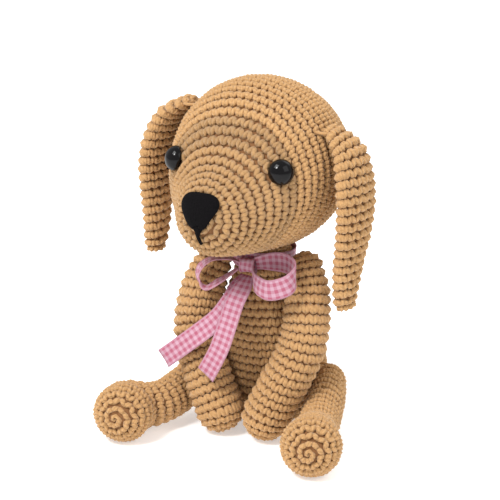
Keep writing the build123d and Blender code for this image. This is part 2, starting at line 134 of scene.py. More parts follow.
@dataclass(frozen=True)
class Ring:
    """One oval section of a stuffed shape."""

    centre: Vector
    across: Vector
    other: Vector
    wide: float
    thick: float

    def at(self, turn: float) -> Vector:
        """The point at an angle round the ring."""
        return (
            self.centre
            + self.across * (self.wide * math.cos(turn))
            + self.other * (self.thick * math.sin(turn))
        )

    def tangent(self, turn: float) -> Vector:
        """The direction in which the ring runs at an angle."""
        return self.other * (self.thick * math.cos(turn)) - self.across * (self.wide * math.sin(turn))


def smooth_through(values: Sequence[float], place: float) -> float:
    """A smooth curve through evenly placed values.

    Args:
        values: the values at places 0, 1, 2 and so on.
        place: where to read the curve.

    Returns:
        The curve's value there.
    """
    last = len(values) - 1
    i = min(max(int(place), 0), last - 1)
    t = min(max(place - i, 0.0), 1.0)
    before, a, b, after = (values[min(max(k, 0), last)] for k in (i - 1, i, i + 1, i + 2))
    slope_a, slope_b = (b - before) / 2, (after - a) / 2
    cube, square = t**3, t**2
    return (
        a * (2 * cube - 3 * square + 1)
        + slope_a * (cube - 2 * square + t)
        + b * (3 * square - 2 * cube)
        + slope_b * (cube - square)
    )


class Form:
    """A rounded closed shape made of rings from one pole to the other."""

    def __init__(self, rings: list[Ring]) -> None:
        """Measures the mean distance over the surface from the first pole.

        Args:
            rings: the sections in order, both ends shrunk to a point.
        """
        self.rings = rings
        self.places = [0.0]
        turns = [k * math.pi / 4 for k in range(8)]
        for a, b in zip(rings, rings[1:]):
            self.places.append(self.places[-1] + sum((b.at(t) - a.at(t)).length for t in turns) / 8)
        self.length = self.places[-1]
        self._last = 0

    def _span(self, along: float) -> tuple[Ring, Ring, float]:
        """The two rings about a distance, and the share of the way between them."""
        along = min(max(along, 0.0), self.length)
        i = self._last
        while i > 0 and self.places[i] > along:
            i -= 1
        while i < len(self.places) - 2 and self.places[i + 1] < along:
            i += 1
        self._last = i
        gap = self.places[i + 1] - self.places[i]
        return self.rings[i], self.rings[i + 1], (along - self.places[i]) / gap if gap > TINY else 0.0

    def girth(self, along: float) -> float:
        """The distance round the shape at a distance from its first pole."""
        a, b, t = self._span(along)
        wide, thick = a.wide + (b.wide - a.wide) * t, a.thick + (b.thick - a.thick) * t
        return 2 * math.pi * math.sqrt((wide**2 + thick**2) / 2)

    def point(self, along: float, turn: float, lift: float = 0.0) -> Vector:
        """A point on the shape.

        Args:
            along: distance over the surface from the first pole.
            turn: angle round the shape.
            lift: height above the surface, or depth below it if negative.

        Returns:
            The point, in metres.
        """
        a, b, t = self._span(along)
        low, high = a.at(turn), b.at(turn)
        place = low.lerp(high, t)
        if not lift:
            return place
        middle = a.centre.lerp(b.centre, t)
        run = a.tangent(turn).lerp(b.tangent(turn), t)
        out = run.cross(high - low)
        if out.length < TINY:
            out = a.centre - b.centre if along < self.length / 2 else b.centre - a.centre
        elif out.dot(place - middle) < 0 and (place - middle).length > 0.2 * MM:
            out = -out
        return place + out.normalized() * lift


def tube(stations: Sequence[Station], across: Vector, start: Vector, end: Vector, steps: int = 96) -> Form:
    """A stuffed tube through stations, rounded at both ends.

    Args:
        stations: x, y, z, half-width and half-thickness of each section, in millimetres.
        across: direction of the half-width.
        start: outward direction of the first end.
        end: outward direction of the last end.
        steps: how many rings to read between the ends.

    Returns:
        The form.
    """
    columns = [[s[k] * MM for s in stations] for k in range(5)]
    last = len(stations) - 1

    def read(place: float) -> tuple[Vector, float, float]:
        """The middle, half-width and half-thickness at a place among the stations."""
        values = [smooth_through(column, place) for column in columns]
        return Vector(values[:3]), values[3], values[4]

    def ring(centre: Vector, normal: Vector, wide: float, thick: float) -> Ring:
        """A ring square to a direction."""
        flat = (across - normal * across.dot(normal)).normalized()
        return Ring(centre, flat, normal.cross(flat), wide, thick)

    rings = []
    middle, wide, thick = read(0)
    out = start.normalized()
    for k in range(CAP_RINGS):
        angle = k / CAP_RINGS * math.pi / 2
        deep = out * (min(wide, thick) * math.cos(angle))
        rings.append(ring(middle + deep, -out, wide * math.sin(angle), thick * math.sin(angle)))
    for k in range(steps + 1):
        place = last * k / steps
        middle, wide, thick = read(place)
        ahead, behind = min(place + TANGENT_REACH, last), max(place - TANGENT_REACH, 0)
        normal = (read(ahead)[0] - read(behind)[0]).normalized()
        rings.append(ring(middle, normal, wide, thick))
    out = end.normalized()
    for k in range(1, CAP_RINGS + 1):
        angle = (1 - k / CAP_RINGS) * math.pi / 2
        deep = out * (min(wide, thick) * math.cos(angle))
        rings.append(ring(middle + deep, out, wide * math.sin(angle), thick * math.sin(angle)))
    return Form(rings)


# ---------------------------------------------------------------- finishes


class Nodes:
    """A material's node tree, with short ways to add and join nodes."""

    def __init__(self, name: str) -> None:
        """Starts a material with one Principled shader."""
        self.material = bpy.data.materials.new(name)
        self.material.use_nodes = True
        self.tree = self.material.node_tree
        self.shader = next(n for n in self.tree.nodes if n.type == "BSDF_PRINCIPLED")

    def add(self, kind: str, **settings: object) -> bpy.types.Node:
        """Adds a node and sets its properties."""
        node = self.tree.nodes.new(kind)
        for key, value in settings.items():
            setattr(node, key, value)
        return node

    def join(self, source: bpy.types.NodeSocket, target: bpy.types.NodeSocket) -> None:
        """Joins two sockets."""
        self.tree.links.new(source, target)

    def maths(self, operation: str, a: object, b: object = 0.0, c: object = 0.0) -> bpy.types.NodeSocket:
        """Adds a Math node.

        Args:
            operation: the node's operation.
            a: first socket or number.
            b: second socket or number.
            c: third socket or number.

        Returns:
            The node's result.
        """
        node = self.add("ShaderNodeMath", operation=operation)
        for socket, value in zip(node.inputs, (a, b, c)):
            if isinstance(value, bpy.types.NodeSocket):
                self.join(value, socket)
            else:
                socket.default_value = value
        return node.outputs[0]

    def noise(self, scale: float, detail: float = 2.0) -> bpy.types.NodeSocket:
        """Noise over the piece's own place, as a number from 0 to 1."""
        place = self.add("ShaderNodeTexCoord")
        node = self.add("ShaderNodeTexNoise")
        node.inputs["Scale"].default_value = scale
        node.inputs["Detail"].default_value = detail
        self.join(place.outputs["Object"], node.inputs["Vector"])
        return node.outputs["Fac"]

    def blend(self, amount: bpy.types.NodeSocket, low: Colour, high: Colour) -> bpy.types.NodeSocket:
        """A colour between two.

        Args:
            amount: 0 for the first colour, 1 for the second.
            low: the first colour.
            high: the second colour.

        Returns:
            The mixed colour.
        """
        node = self.add("ShaderNodeMix", data_type="RGBA")
        self.join(amount, node.inputs["Factor"])
        colours = [s for s in node.inputs if s.type == "RGBA"]
        colours[0].default_value = (*low, 1)
        colours[1].default_value = (*high, 1)
        return next(s for s in node.outputs if s.type == "RGBA")

    def bump(self, height: bpy.types.NodeSocket, strength: float, distance: float) -> None:
        """Raises the surface by a height.

        Args:
            height: the height, where 1 is the whole distance.
            strength: how much of it shows, from 0 to 1.
            distance: the distance, in metres.
        """
        node = self.add("ShaderNodeBump")
        node.inputs["Strength"].default_value = strength
        node.inputs["Distance"].default_value = distance
        self.join(height, node.inputs["Height"])
        self.join(node.outputs["Normal"], self.shader.inputs["Normal"])

    def put(self, **values: object) -> None:
        """Sets the shader's own sockets, with spaces written as underscores."""
        for key, value in values.items():
            self.shader.inputs[key.replace("_", " ")].default_value = value


@dataclass(frozen=True)
class YarnFinish:
    """Plied worsted yarn, matt and a little fuzzy.

    Attributes:
        name: the material's name.
        light: colour of the yarn's high places: random tone, and where plies show, painted light on their
            ridges.
        dark: colour between its plies: random tone, and where plies show, painted shade in their grooves.
        twist: turns of the plies over the whole strand, or 0 for yarn too short to show them.
        plies: how many plies wind round each other.
    """

    name: str
    light: Colour
    dark: Colour
    twist: float = 0.0
    plies: int = 3

    def make(self) -> bpy.types.Material:
        """Builds the material.

        Returns:
            The yarn material, with plies that wind round the strand where twist isn't 0, drawn with painted
            shade in the grooves between them.
        """
        n = Nodes(self.name)
        patches, fibres = n.noise(70.0), n.noise(1900.0, 3.0)
        shade = n.maths("MULTIPLY_ADD", fibres, 0.55, n.maths("MULTIPLY", patches, 0.45))
        height = n.maths("MULTIPLY", fibres, 0.6)
        if self.twist:
            place = n.add("ShaderNodeTexCoord")
            split = n.add("ShaderNodeSeparateXYZ")
            n.join(place.outputs["UV"], split.inputs[0])
            run = n.maths("MULTIPLY", split.outputs[0], 2 * math.pi * self.twist)
            round_strand = n.maths("MULTIPLY_ADD", split.outputs[1], 2 * math.pi * self.plies, run)
            # Ply stripes: the colour follows the ply relief, with painted shade in the grooves and painted
            # light on the ridges.
            ply = n.maths("ABSOLUTE", n.maths("SINE", n.maths("MULTIPLY", round_strand, 0.5)))
            shade = n.maths("MULTIPLY_ADD", ply, 0.35, n.maths("MULTIPLY", shade, 0.65))
            height = n.maths("MULTIPLY_ADD", ply, 1.0, height)
        n.join(n.blend(shade, self.dark, self.light), n.shader.inputs["Base Color"])
        n.put(Roughness=0.95, Specular_IOR_Level=0.15)
        n.put(Sheen_Weight=0.3, Sheen_Roughness=0.5, Sheen_Tint=(1.0, 0.86, 0.7, 1))
        n.bump(height, 0.6, 0.35 * MM)
        return n.material


@dataclass(frozen=True)
class GinghamFinish:
    """Woven check on a ribbon, read from its UV map: x across the ribbon, y along it in widths.

    Attributes:
        name: the material's name.
        pink: colour where two dyed stripes cross.
        white: colour where two pale stripes cross.
        checks: pairs of stripes in one ribbon width.
        edge: width of each plain woven edge, as a share of the ribbon's.
        edge_tone: how far the edges go from white to pink.
        threads: waves of the weave in one ribbon width.
    """

    name: str
    pink: Colour = (0.37, 0.09, 0.145)
    white: Colour = (0.50, 0.31, 0.38)
    checks: float = 3.0
    edge: float = 0.07
    edge_tone: float = 0.42
    threads: float = 38.0

    def make(self) -> bpy.types.Material:
        """Builds the material.

        Returns:
            A gingham of crossing pink stripes between two plain woven edges.
        """
        n = Nodes(self.name)
        place = n.add("ShaderNodeTexCoord")
        split = n.add("ShaderNodeSeparateXYZ")
        n.join(place.outputs["UV"], split.inputs[0])
        stripes = []
        for socket in split.outputs[:2]:
            wave = n.maths("SINE", n.maths("MULTIPLY", socket, 2 * math.pi * self.checks))
            soft = n.maths("MULTIPLY_ADD", wave, 4.0, 0.5)
            stripes.append(n.maths("MINIMUM", n.maths("MAXIMUM", soft, 0.0), 1.0))
        both = n.maths("MULTIPLY", n.maths("ADD", stripes[0], stripes[1]), 0.5)
        off_middle = n.maths("ABSOLUTE", n.maths("SUBTRACT", split.outputs[0], 0.5))
        selvedge = n.maths("GREATER_THAN", off_middle, 0.5 - self.edge)
        amount = n.maths("MULTIPLY_ADD", selvedge, n.maths("SUBTRACT", self.edge_tone, both), both)
        turns = 2 * math.pi * self.threads
        warp, weft = (n.maths("SINE", n.maths("MULTIPLY", s, turns)) for s in split.outputs[:2])
        weave = n.maths("MULTIPLY", warp, weft)
        tone = n.maths("MULTIPLY_ADD", weave, 0.05, amount)
        n.join(n.blend(tone, self.white, self.pink), n.shader.inputs["Base Color"])
        n.put(Roughness=0.62, Sheen_Weight=0.1, Sheen_Roughness=0.4, Specular_IOR_Level=0.3)
        n.bump(n.maths("MULTIPLY_ADD", selvedge, 1.5, weave), 0.35, 0.08 * MM)
        return n.material


@dataclass(frozen=True)
class PlainFinish:
    """A moulded or felted finish with a fine grain.

    Attributes:
        name: the material's name.
        light: colour on the grain's high places.
        dark: colour in its low places.
        roughness: roughness of the surface.
        grain: how many grains lie in a metre.
        relief: how much the grain stands up, from 0 to 1.
        shine: specular level.
        glow: strength of white light given off.
    """

    name: str
    light: Colour
    dark: Colour
    roughness: float
    grain: float = 900.0
    relief: float = 0.1
    shine: float = 0.4
    glow: float = 0.0

    def make(self) -> bpy.types.Material:
        """Builds the material."""
        n = Nodes(self.name)
        grain = n.noise(self.grain, 3.0)
        n.join(n.blend(grain, self.dark, self.light), n.shader.inputs["Base Color"])
        n.put(Roughness=self.roughness, Specular_IOR_Level=self.shine)
        n.put(Emission_Color=(1, 1, 1, 1), Emission_Strength=self.glow)
        if self.relief:
            n.bump(grain, self.relief, 0.2 * MM)
        return n.material


# Yarn colours: random tone, and on plied covers also painted shade between the plies.
TAN = ((0.56, 0.335, 0.15), (0.34, 0.18, 0.07))
TWIST = 5.0  # turns of the plies in each stitch
# Lining colours, darker than the yarn: painted shade for the hollows between the stitches.
SHADED_BACKING = ((0.30, 0.15, 0.06), (0.16, 0.07, 0.03))
EYE_BLACK = PlainFinish(
    "eye_black", (0.004, 0.003, 0.004), (0.002, 0.002, 0.002), 0.05, relief=0.0, shine=0.2
)
THREAD_BLACK = PlainFinish(
    "thread_black", (0.006, 0.005, 0.006), (0.001, 0.001, 0.001), 0.9, 1400.0, 0.5, 0.08
)
WASHER_WHITE = PlainFinish("washer_white", (0.85, 0.85, 0.82), (0.78, 0.78, 0.75), 0.45)
FIBRE_WHITE = PlainFinish("fibre_white", (0.9, 0.9, 0.88), (0.75, 0.75, 0.73), 0.95, 300.0, 0.6)
SEWING_YARN = YarnFinish("sewing_yarn", *TAN)


# ---------------------------------------------------------------- making pieces


def link(data: bpy.types.ID, material: bpy.types.Material, body: str) -> bpy.types.Object:
    """Puts a finished piece in the scene under its mesh's or curve's name.

    Args:
        data: its mesh or curve.
        material: its finish.
        body: the body that it rides on, or nothing to leave it unattached.

    Returns:
        The new object.
    """
    piece = bpy.data.objects.new(data.name, data)
    data.materials.append(material)
    bpy.context.scene.collection.objects.link(piece)
    if body:
        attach(piece, body)
    LOG.info("made %s", piece.name)
    return piece


def mesh_from(bm: bmesh.types.BMesh, name: str) -> bpy.types.Mesh:
    """Turns a bmesh into a smooth-shaded mesh and frees it.

    Args:
        bm: the bmesh.
        name: the mesh's name.

    Returns:
        The mesh.
    """
    mesh = bpy.data.meshes.new(name)
    bm.to_mesh(mesh)
    bm.free()
    for polygon in mesh.polygons:
        polygon.use_smooth = True
    return mesh


def strand(name: str, runs: Sequence[Yarn]) -> bpy.types.Curve:
    """A curve of yarn.

    Args:
        name: the curve's name.
        runs: each strand's points with the yarn's radius there, in metres.

    Returns:
        A bevelled curve with closed ends.
    """
    curve = bpy.data.curves.new(name, "CURVE")
    curve.dimensions = "3D"
    curve.bevel_depth = MM
    curve.bevel_resolution = 1
    curve.use_fill_caps = True
    for run in runs:
        spline = curve.splines.new("POLY")
        spline.points.add(len(run) - 1)
        spline.points.foreach_set("co", [v for p, _ in run for v in (*p, 1.0)])
        spline.points.foreach_set("radius", [r / MM for _, r in run])
        spline.use_smooth = True
    return curve


@dataclass
class Cover:
    """A crocheted skin worked in one spiral over a stuffed form.

    Attributes:
        name: the CAD node that it replaces.
        body: the body that it rides on.
        form: the shape, from the pole where the work starts.
        fill: how tightly it is stuffed, from 0 to 1; not used.
        finish: where the work stops, as a share of the form's length.
        skip: says which places stay bare, such as under a nose.
        gauge: how the yarn is worked.
        seed: sets how the stitches differ from each other.
    """

    name: str
    body: str
    form: Form
    fill: float = 0.9
    finish: float = 1.0
    skip: Callable[[Vector], bool] | None = None
    gauge: Gauge = field(default_factory=Gauge)
    seed: int = 1

    def rounds(self) -> list[tuple[float, int]]:
        """The start of each round and how many stitches it has."""
        g, form = self.gauge, self.form
        total = max(2, round(form.length * self.finish / g.row))
        height = form.length * self.finish / total
        rounds = []
        for i in range(total):
            count = max(5, round(form.girth((i + 0.5) * height) / g.stitch))
            rounds.append((i * height, count))
        return rounds

    def spiral(self) -> Yarn:
        """The yarn's path: two slanting legs for each stitch, sunk where stitches interlock."""
        g, form, rng = self.gauge, self.form, random.Random(self.seed)
        rounds = self.rounds()
        height = form.length * self.finish / len(rounds)
        path = [(form.point(height * 0.5 * k / g.start, k, -g.bed), g.pinch) for k in range(g.start)]
        for i, (low, count) in enumerate(rounds):
            lean = g.lean * min(1.0, (i + 0.4) / 2.4)
            for k in range(count):
                uneven = rng.uniform(-g.uneven, g.uneven)
                plump = rng.uniform(0.93, 1.05)
                first = 2 * math.pi * k / count
                tall = (form.point(low + height, first) - form.point(low, first)).length / height
                full = plump * (0.55 + 0.45 * min(max(tall, 0.8), 1.5))
                for step in range(g.steps):
                    share = step / g.steps
                    leg = math.sin(2 * math.pi * share) ** 2
                    turn = 2 * math.pi * (k + share + 0.08 * uneven) / count
                    sway = noise.noise(form.point(low, turn) * g.sway_scale) * g.sway
                    climb = 0.5 + lean * math.cos(2 * math.pi * share) + 0.3 * uneven * leg + sway
                    along = low + height * (climb + (k + share) / count)
                    place = form.point(min(along, form.length), turn, g.swell * leg * plump - g.bed)
                    radius = (g.pinch + (g.yarn - g.pinch) * leg) * full
                    place.z = max(place.z, radius)
                    path.append((place, radius))
        return path

    def fuzz(self, path: Yarn) -> list[Yarn]:
        """Loose fibres that stand off the yarn where a leg is proudest, one for each stitch.

        Args:
            path: the yarn's path, as spiral() gives it.

        Returns:
            One short run for each fibre.
        """
        rng = random.Random(self.seed + 100)
        thick, floor = (0.10 * MM, 0.08 * MM, 0.04 * MM), 0.1 * MM
        fibres = []
        for k in range(self.gauge.steps // 4, len(path) - 1, self.gauge.steps):
            place, radius = path[k]
            run = (path[k + 1][0] - path[k - 1][0]).normalized()
            way = Vector([rng.gauss(0, 1) for _ in range(3)])
            way = (way - run * way.dot(run)).normalized()
            skew = Vector([rng.gauss(0, 0.7) for _ in range(3)])
            reach = rng.uniform(1.2, 3.0) * MM
            root = place + way * radius * 0.9
            tip = root + (way * 0.5 + skew * 0.6) * reach
            tip.z = max(tip.z, floor)
            bend = root.lerp(tip, 0.5) + way * reach * 0.22
            bend.z = max(bend.z, floor)
            fibres.append(list(zip((root, bend, tip), thick)))
        return fibres

    def worked(self) -> tuple[list[Yarn], Yarn]:
        """The yarn's path, cut where places stay bare.

        Returns:
            The runs that are left, and all their points as one run.
        """
        runs, run = [], []
        for place, radius in self.spiral():
            if not (self.skip and self.skip(place)):
                run.append((place, radius))
                continue
            if len(run) > 3:
                runs.append(run)
            run = []
        runs.append(run)
        return runs, [spot for run in runs for spot in run]

    def lining(self) -> bpy.types.Mesh:
        """The fabric behind the stitches, a ball pushed out to the form."""
        bm = bmesh.new()
        bmesh.ops.create_uvsphere(bm, u_segments=40, v_segments=56, radius=1)
        for vert in bm.verts:
            share = math.acos(max(-1, min(1, vert.co.z))) / math.pi
            turn = math.atan2(vert.co.y, vert.co.x)
            vert.co = self.form.point(share * self.form.length, turn, -self.gauge.lining)
        bmesh.ops.recalc_face_normals(bm, faces=bm.faces)
        return mesh_from(bm, f"{self.name}_fabric")

    def build(self) -> None:
        """Makes the lining and the stitches and puts them in place of the CAD cover."""
        runs, kept = self.worked()
        runs += self.fuzz(kept)
        stitches = sum(count for _, count in self.rounds())
        finish = YarnFinish(f"yarn_{self.name}", *TAN, twist=stitches * TWIST)
        # The lining takes the darker colours as painted shade seen through the gaps between stitches.
        back = YarnFinish(f"yarn_{self.name}_behind", *SHADED_BACKING)
        link(strand(f"{self.name}_stitches", runs), finish.make(), self.body)
        fabric = link(self.lining(), back.make(), self.body)
        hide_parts(self.name)
        LOG.info("%s has %d stitches in %d rounds", self.name, stitches, len(self.rounds()))


# ---------------------------------------------------------------- head


@dataclass
class Head:
    """Head with muzzle, eyes, nose and mouth, in millimetres and degrees.

    Attributes:
        profile: y, middle height, half-width and half-height of each section, from muzzle to back.
        centre: x and y of the head's own origin.
        turn: how far the head is turned at rest.
        eye_at: the puppy's left eye, in the head's own frame.
        eye_yaw: how far the eyes look aside.
        eye_pitch: how far they look up.
        eye_radius: radius of an eye.
        eye_clear: radius about an eye that the yarn leaves bare.
        nose_up: height of the nose's middle above the muzzle's tip.
        nose_size: half-width and half-height of the nose.
        nose_clear: radius about the nose that the yarn leaves bare.
        mouth_length: length of the mouth's stitch.
    """

    profile: tuple[tuple[float, float, float, float], ...] = (
        (-57.0, -15.0, 0.0, 0.0),
        (-56.0, -15.0, 6.5, 6.5),
        (-53.0, -15.0, 12.5, 12.5),
        (-47.0, -15.0, 18.0, 18.0),
        (-40.0, -13.5, 22.5, 21.5),
        (-33.0, -10.0, 28.5, 26.5),
        (-26.0, -5.5, 34.3, 32.0),
        (-17.0, -1.0, 39.6, 37.5),
        (-7.0, 1.2, 42.8, 40.7),
        (5.0, 2.0, 43.6, 41.5),
        (17.0, 2.0, 41.2, 38.8),
        (28.0, 2.2, 34.0, 32.0),
        (36.0, 2.5, 23.0, 21.5),
        (40.0, 2.5, 10.0, 9.5),
        (40.6, 2.5, 0.0, 0.0),
    )
    centre: tuple[float, float] = (-2.0, -17.0)
    turn: float = -4.0
    eye_at: tuple[float, float, float] = (28.4, -29.2, 6.3)
    eye_yaw: float = 40.0
    eye_pitch: float = 14.0
    eye_radius: float = 5.9
    eye_clear: float = 5.0
    nose_up: float = 5.6
    nose_size: tuple[float, float] = (9.2, 8.4)
    nose_clear: float = 6.5
    mouth_length: float = 9.5

    def __post_init__(self) -> None:
        """Sets the head's frame from the CAD head."""
        low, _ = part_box("head_cover")
        underside = min(middle - half for _, middle, _, half in self.profile) * MM
        place = Vector((self.centre[0] * MM, self.centre[1] * MM, low[2] - underside))
        self.place = Matrix.Translation(place) @ Matrix.Rotation(math.radians(self.turn), 4, "Z")
        self.shape = self.form()

    def local(self, x: float, y: float, z: float) -> Vector:
        """A point of the head's own frame, in millimetres, as a place in metres."""
        return self.place @ (Vector((x, y, z)) * MM)

    def form(self) -> Form:
        """The head's shape, from the muzzle's tip to the back."""
        turn = self.place.to_3x3()
        across, upward = turn @ Vector((1, 0, 0)), turn @ Vector((0, 0, 1))
        columns = [[row[k] for row in self.profile] for k in range(4)]
        rings = []
        fine = 14
        for k in range(fine * (len(self.profile) - 1) + 1):
            y, z, wide, high = (smooth_through(column, k / fine) for column in columns)
            rings.append(Ring(self.local(0, y, z), across, upward, max(wide, 0) * MM, max(high, 0) * MM))
        return Form(rings)

    def build(self) -> None:
        """Makes the head's cover, eyes, nose and mouth."""
        eyes = [self.eye_place(side) for side in Side]
        nose = self.on_muzzle(0.0, self.nose_up, -1.0)

        def covered(place: Vector) -> bool:
            """Says whether an eye or the nose hides a place."""
            by_eye = any((place - eye).length < self.eye_clear * MM for eye in eyes)
            return by_eye or (place - nose).length < self.nose_clear * MM

        gauge = Gauge(bed=1.5 * MM, lining=1.4 * MM)
        Cover("head_cover", "head", self.shape, 0.95, skip=covered, gauge=gauge, seed=3).build()
        for side in Side:
            self.eye(side)
        self.nose()
        self.mouth()

    def eye_place(self, side: Side) -> Vector:
        """Where an eye's shank meets the fabric, in metres."""
        return self.local(side.value * self.eye_at[0], *self.eye_at[1:])

    def eye(self, side: Side) -> None:
        """A domed bead on its shank.

        Args:
            side: which eye.
        """
        yaw, pitch = math.radians(self.eye_yaw), math.radians(self.eye_pitch)
        aside, ahead = math.sin(yaw) * math.cos(pitch), math.cos(yaw) * math.cos(pitch)
        out = self.place.to_3x3() @ Vector((side.value * aside, -ahead, math.sin(pitch)))
        place = self.eye_place(side)
        front, back, raised = 0.86, 0.30, 1.0
        bm = bmesh.new()
        bmesh.ops.create_uvsphere(bm, u_segments=48, v_segments=32, radius=1)
        for vert in bm.verts:
            ball = vert.co
            depth = front if ball.z > 0 else back
            spot = Vector((ball.x, ball.y, ball.z * depth)) * (self.eye_radius * MM)
            spot.xy *= 1.05 - 0.25 * abs(spot.z)
            vert.co = spot
        turn = out.to_track_quat("Z", "Y").to_matrix().to_4x4()
        bm.transform(Matrix.Translation(place + out * (raised * MM)) @ turn)
        radius, depth = 2 * MM, 13 * MM
        shank = Matrix.Translation(place) @ turn @ Matrix.Translation((0, 0, -depth / 2))
        bmesh.ops.create_cone(
            bm, segments=20, cap_ends=True, radius1=radius, radius2=radius, depth=depth, matrix=shank
        )
        bead = link(mesh_from(bm, f"{side.word}_eye_bead"), EYE_BLACK.make(), "head")
        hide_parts(f"{side.word}_eye")

    def on_muzzle(self, aside: float, up: float, lift: float) -> Vector:
        """A place on the muzzle.

        Args:
            aside: distance to the puppy's left of the muzzle's tip, in millimetres.
            up: distance above the tip, in millimetres.
            lift: height above the fabric, in millimetres.

        Returns:
            The place, in metres.
        """
        over = 1.03 * math.hypot(aside, up)
        return self.shape.point(over * MM, math.atan2(up, aside), lift * MM)

    def nose(self) -> None:
        """A padded rounded triangle of black thread that hugs the muzzle."""
        half_width, half_height = self.nose_size
        bm = bmesh.new()
        bmesh.ops.create_uvsphere(bm, u_segments=72, v_segments=36, radius=1)
        for vert in bm.verts:
            ball = vert.co.copy()
            flat = math.hypot(ball.x, ball.y)
            corner = 1 + 0.12 * math.cos(3 * (math.atan2(ball.y, ball.x) - math.pi / 6)) * flat
            aside = ball.x * corner * half_width * (1 + 0.06 * ball.y)
            up = ball.y * corner * half_height + self.nose_up
            threads = 0.10 * math.sin(aside * 5.2) * (1 - flat**4)
            dome = 1.2 + ball.z * (2.3 if ball.z > 0 else 2.0) + threads
            vert.co = self.on_muzzle(aside, up, dome)
        bmesh.ops.recalc_face_normals(bm, faces=bm.faces)
        pad = link(mesh_from(bm, "nose_pad"), THREAD_BLACK.make(), "head")
        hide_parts("nose_patch")

    def mouth(self) -> None:
        """One black stitch down from the nose, thick at the top."""
        top = self.nose_up - self.nose_size[1] * 0.85
        run, steps = [], 12
        for k in range(steps + 1):
            share = k / steps
            radius = (2.4 - 1.5 * min(share * 1.8, 1.0)) * MM
            place = self.on_muzzle(0.3 * math.sin(share * 8), top - share * self.mouth_length, 1.3 - share)
            run.append((place, radius))
        stitch = link(strand("mouth_thread", [run]), THREAD_BLACK.make(), "head")
        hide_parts("mouth_stitch")


@dataclass
class Seam:
    """A loop of sewing yarn that holds a limb's edge and turns into the cover behind it.

    Attributes:
        node: the CAD node that it replaces.
        body: the body that it rides on.
        hinge: the middle of the loop.
        along: the direction of the loop's run.
        inward: the direction in which its ends turn.
        half: half of the run, in millimetres.
        reach: how far the ends go in, in millimetres.
        radius: the yarn's radius, in millimetres.
    """

    node: str
    body: str
    hinge: Vector
    along: Vector
    inward: Vector
    half: float
    reach: float
    radius: float = 0.8

    def build(self) -> None:
        """Makes the loop in place of its CAD node."""
        corners = ((-0.85, 1.0), (-1.0, 0.55), (-0.9, 0.12), (-0.5, 0.0), (0.0, 0.0))
        corners += tuple((-a, b) for a, b in reversed(corners[:-1]))
        places = [self.along * (a * self.half) + self.inward * (b * self.reach) for a, b in corners]
        columns = [[p[k] for p in places] for k in range(3)]
        run, fine = [], 4
        for k in range(fine * (len(places) - 1) + 1):
            offset = Vector([smooth_through(column, k / fine) for column in columns])
            run.append((self.hinge + offset * MM, self.radius * MM))
        yarn = link(strand(f"{self.node}_yarn", [run]), SEWING_YARN.make(), self.body)
        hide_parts(self.node)


@dataclass
class Ear:
    """A flattened tube hung from the side of the head.

    Attributes:
        side: which ear.
        hinge: the middle of its seam, in metres.
        hang: how far it is swung out from the head, in degrees.
        length: its length, as a share of the sections' length.
        cup: how far its flat side faces ahead.
        sections: distance aside, ahead and down, half-width and half-thickness, in millimetres.
        top: half-width and half-thickness at the hinge, in millimetres.
    """

    side: Side
    hinge: Vector
    hang: float
    length: float
    cup: float
    sections: tuple[Station, ...] = (
        (8.7, 1.0, 8.5, 11.0, 4.5),
        (12.5, 2.0, 22.0, 13.0, 5.1),
        (13.2, 2.0, 35.0, 13.0, 5.2),
        (12.2, 2.0, 47.5, 11.8, 5.1),
        (10.2, 2.0, 60.0, 10.0, 5.0),
        (8.8, 2.0, 72.0, 8.4, 4.8),
        (8.2, 2.0, 82.0, 6.4, 4.6),
    )
    top: tuple[float, float] = (6.2, 3.1)

    def form(self, head: Head) -> Form:
        """The ear's shape, from its tip to its hinge.

        Args:
            head: the head that it hangs from.

        Returns:
            The form.
        """
        hinge = head.place.inverted() @ self.hinge
        sign = self.side.value
        stations = []
        for aside, ahead, down, wide, thick in reversed(self.sections):
            stations.append((Vector((sign * aside, -ahead, -down * self.length)) * MM, wide, thick))
        stations.append((Vector(), *self.top))
        swing = Matrix.Rotation(math.radians(self.hang), 4, Vector((0, -sign, 0)))
        whole = head.place @ Matrix.Translation(hinge) @ swing
        turned = [(*((whole @ place) / MM), wide, thick) for place, wide, thick in stations]
        flat = whole.to_3x3()
        tip, root = flat @ Vector((sign * 0.05, 0, -1)), flat @ Vector((-sign * 0.95, 0.1, 1))
        return tube(turned, flat @ Vector((sign * self.cup, 1, 0)).normalized(), tip, root)

    def build(self, head: Head) -> None:
        """Makes the ear in place of its CAD solid.

        Args:
            head: the head that it hangs from.
        """
        word = self.side.word
        gauge = Gauge(bed=1.6 * MM, lining=1.7 * MM)
        seed = 11 + self.side.seed
        Cover(f"{word}_ear", f"{word}_ear", self.form(head), 0.3, gauge=gauge, seed=seed).build()


# ---------------------------------------------------------------- torso and limbs


@dataclass
class Torso:
    """The egg-shaped body, flat under the seat and leaning forward, in millimetres.

    Attributes:
        circles: height and radius of each section.
        back: how far behind the origin its base is.
        lean: how far its top comes forward.
        top: the height that the lean is measured at.
    """

    circles: tuple[tuple[float, float], ...] = (
        (0.0, 0.0),
        (0.0, 9.0),
        (0.2, 16.0),
        (3.0, 22.3),
        (9.0, 25.4),
        (19.0, 26.5),
        (32.0, 26.4),
        (45.0, 25.4),
        (56.0, 23.9),
        (66.0, 20.9),
        (75.0, 17.7),
        (83.0, 14.6),
        (91.0, 13.4),
        (94.0, 12.0),
        (94.5, 0.0),
    )
    back: float = 3.0
    lean: float = 18.0
    top: float = 91.0

    def form(self) -> Form:
        """The torso's shape, from the middle of its base."""
        columns = [[c[k] for c in self.circles] for k in range(2)]
        rings = []
        fine = 12
        for k in range(fine * (len(self.circles) - 1) + 1):
            z, r = (smooth_through(column, k / fine) for column in columns)
            centre = Vector((0, self.back - self.lean * z / self.top, max(z, 0.0))) * MM
            radius = max(r, 0) * MM
            rings.append(Ring(centre, ACROSS, BEHIND, radius, radius))
        return Form(rings)

    def build(self) -> None:
        """Makes the torso's cover."""
        Cover("torso_cover", "torso", self.form(), 0.9, finish=0.96, seed=5).build()


